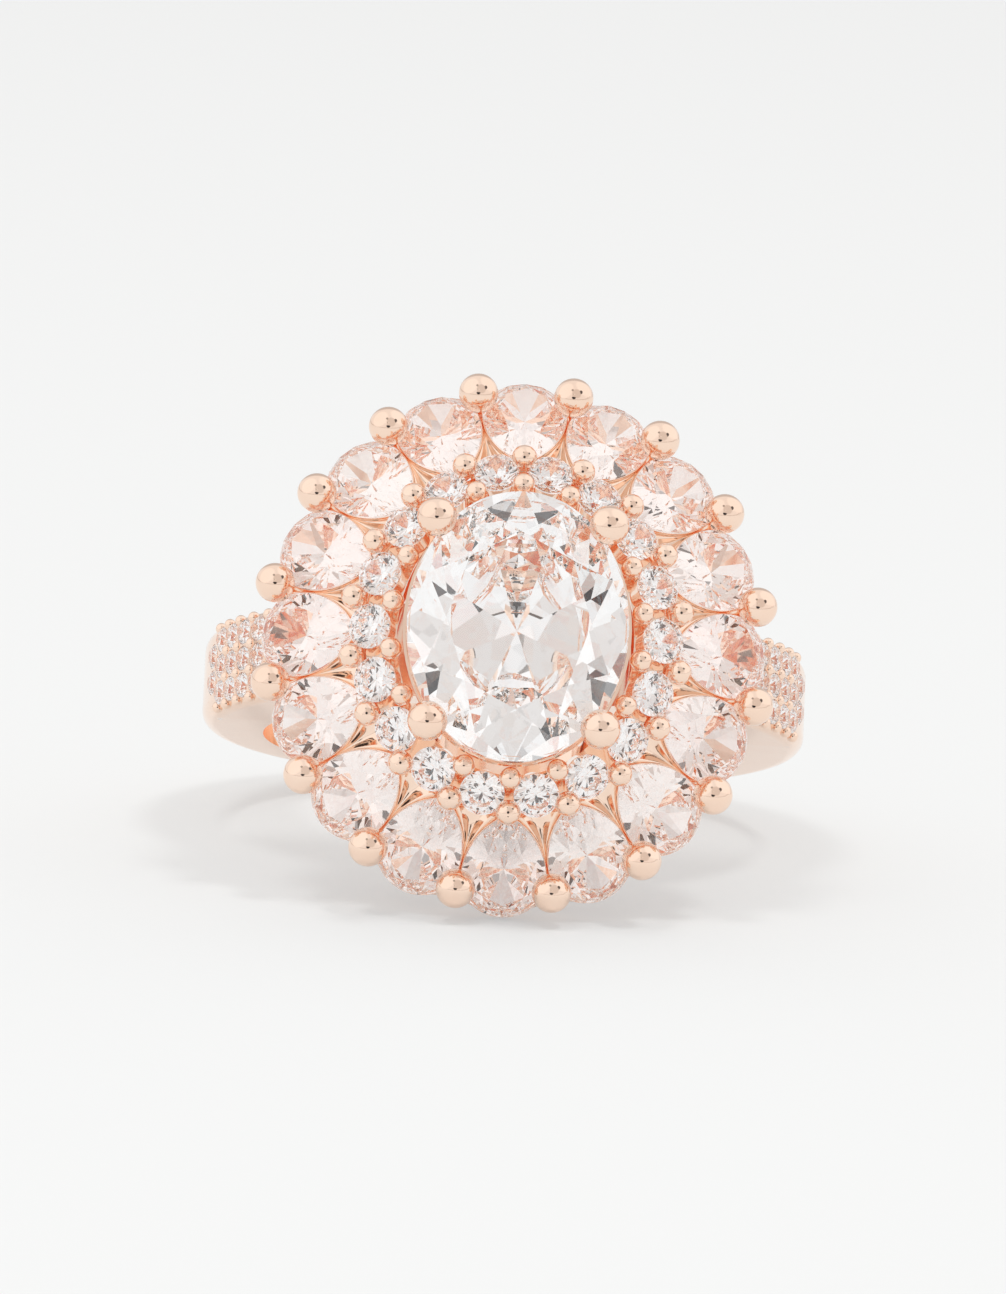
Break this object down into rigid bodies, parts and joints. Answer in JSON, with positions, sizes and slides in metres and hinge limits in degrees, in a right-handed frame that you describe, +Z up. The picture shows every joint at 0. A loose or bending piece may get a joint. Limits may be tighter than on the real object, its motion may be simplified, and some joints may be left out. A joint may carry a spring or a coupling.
{
  "type": "cocktail ring",
  "caption": "Domed cluster finger ring: oval centre stone, round-stone halo and pear-stone petals in ball claws on a polished hoop with pave shoulders.",
  "frame": {"origin": "middle of the bounding box's bottom face: the ring leans on a table at z = 0, touching it with the collet of its lowest pear stone and with the back lower edge of the hoop", "axes": "+Z up; the stones face -Y and a little up; the finger axis lies in the YZ plane, leaning back from +Z; +X is to the right when the stones are seen from the front"},
  "size_m": [0.0228, 0.0276, 0.0192],
  "materials": {
    "rose_gold": "polished rose-gold plate",
    "clear_stone": "faceted, polished, colourless",
    "peach_stone": "faceted, polished, pale peach"
  },
  "bodies": {
    "root": {"centre_stone": "clear_stone", "pear_stone_01": "peach_stone", "pear_stone_02": "peach_stone", "pear_stone_03": "peach_stone", "pear_stone_04": "peach_stone", "pear_stone_05": "peach_stone", "pear_stone_06": "peach_stone", "pear_stone_07": "peach_stone", "pear_stone_08": "peach_stone", "pear_stone_09": "peach_stone", "pear_stone_10": "peach_stone", "pear_stone_11": "peach_stone", "pear_stone_12": "peach_stone", "pear_stone_13": "peach_stone", "pear_stone_14": "peach_stone", "pear_stone_15": "peach_stone", "pear_stone_16": "peach_stone", "halo_stone_01": "clear_stone", "halo_stone_02": "clear_stone", "halo_stone_03": "clear_stone", "halo_stone_04": "clear_stone", "halo_stone_05": "clear_stone", "halo_stone_06": "clear_stone", "halo_stone_07": "clear_stone", "halo_stone_08": "clear_stone", "halo_stone_09": "clear_stone", "halo_stone_10": "clear_stone", "halo_stone_11": "clear_stone", "halo_stone_12": "clear_stone", "halo_stone_13": "clear_stone", "halo_stone_14": "clear_stone", "halo_stone_15": "clear_stone", "halo_stone_16": "clear_stone", "halo_stone_17": "clear_stone", "halo_stone_18": "clear_stone", "left_shoulder_stones": "clear_stone", "left_shoulder_beads": "rose_gold", "right_shoulder_stones": "clear_stone", "right_shoulder_beads": "rose_gold", "shank": "rose_gold", "gallery_rail": "rose_gold", "pear_collets": "rose_gold", "pear_claws": "rose_gold", "halo_plate": "rose_gold", "halo_cups": "rose_gold", "halo_outer_beads": "rose_gold", "halo_inner_beads": "rose_gold", "halo_posts": "rose_gold", "centre_basket": "rose_gold", "centre_claws": "rose_gold"}
  },
  "joints": []
}
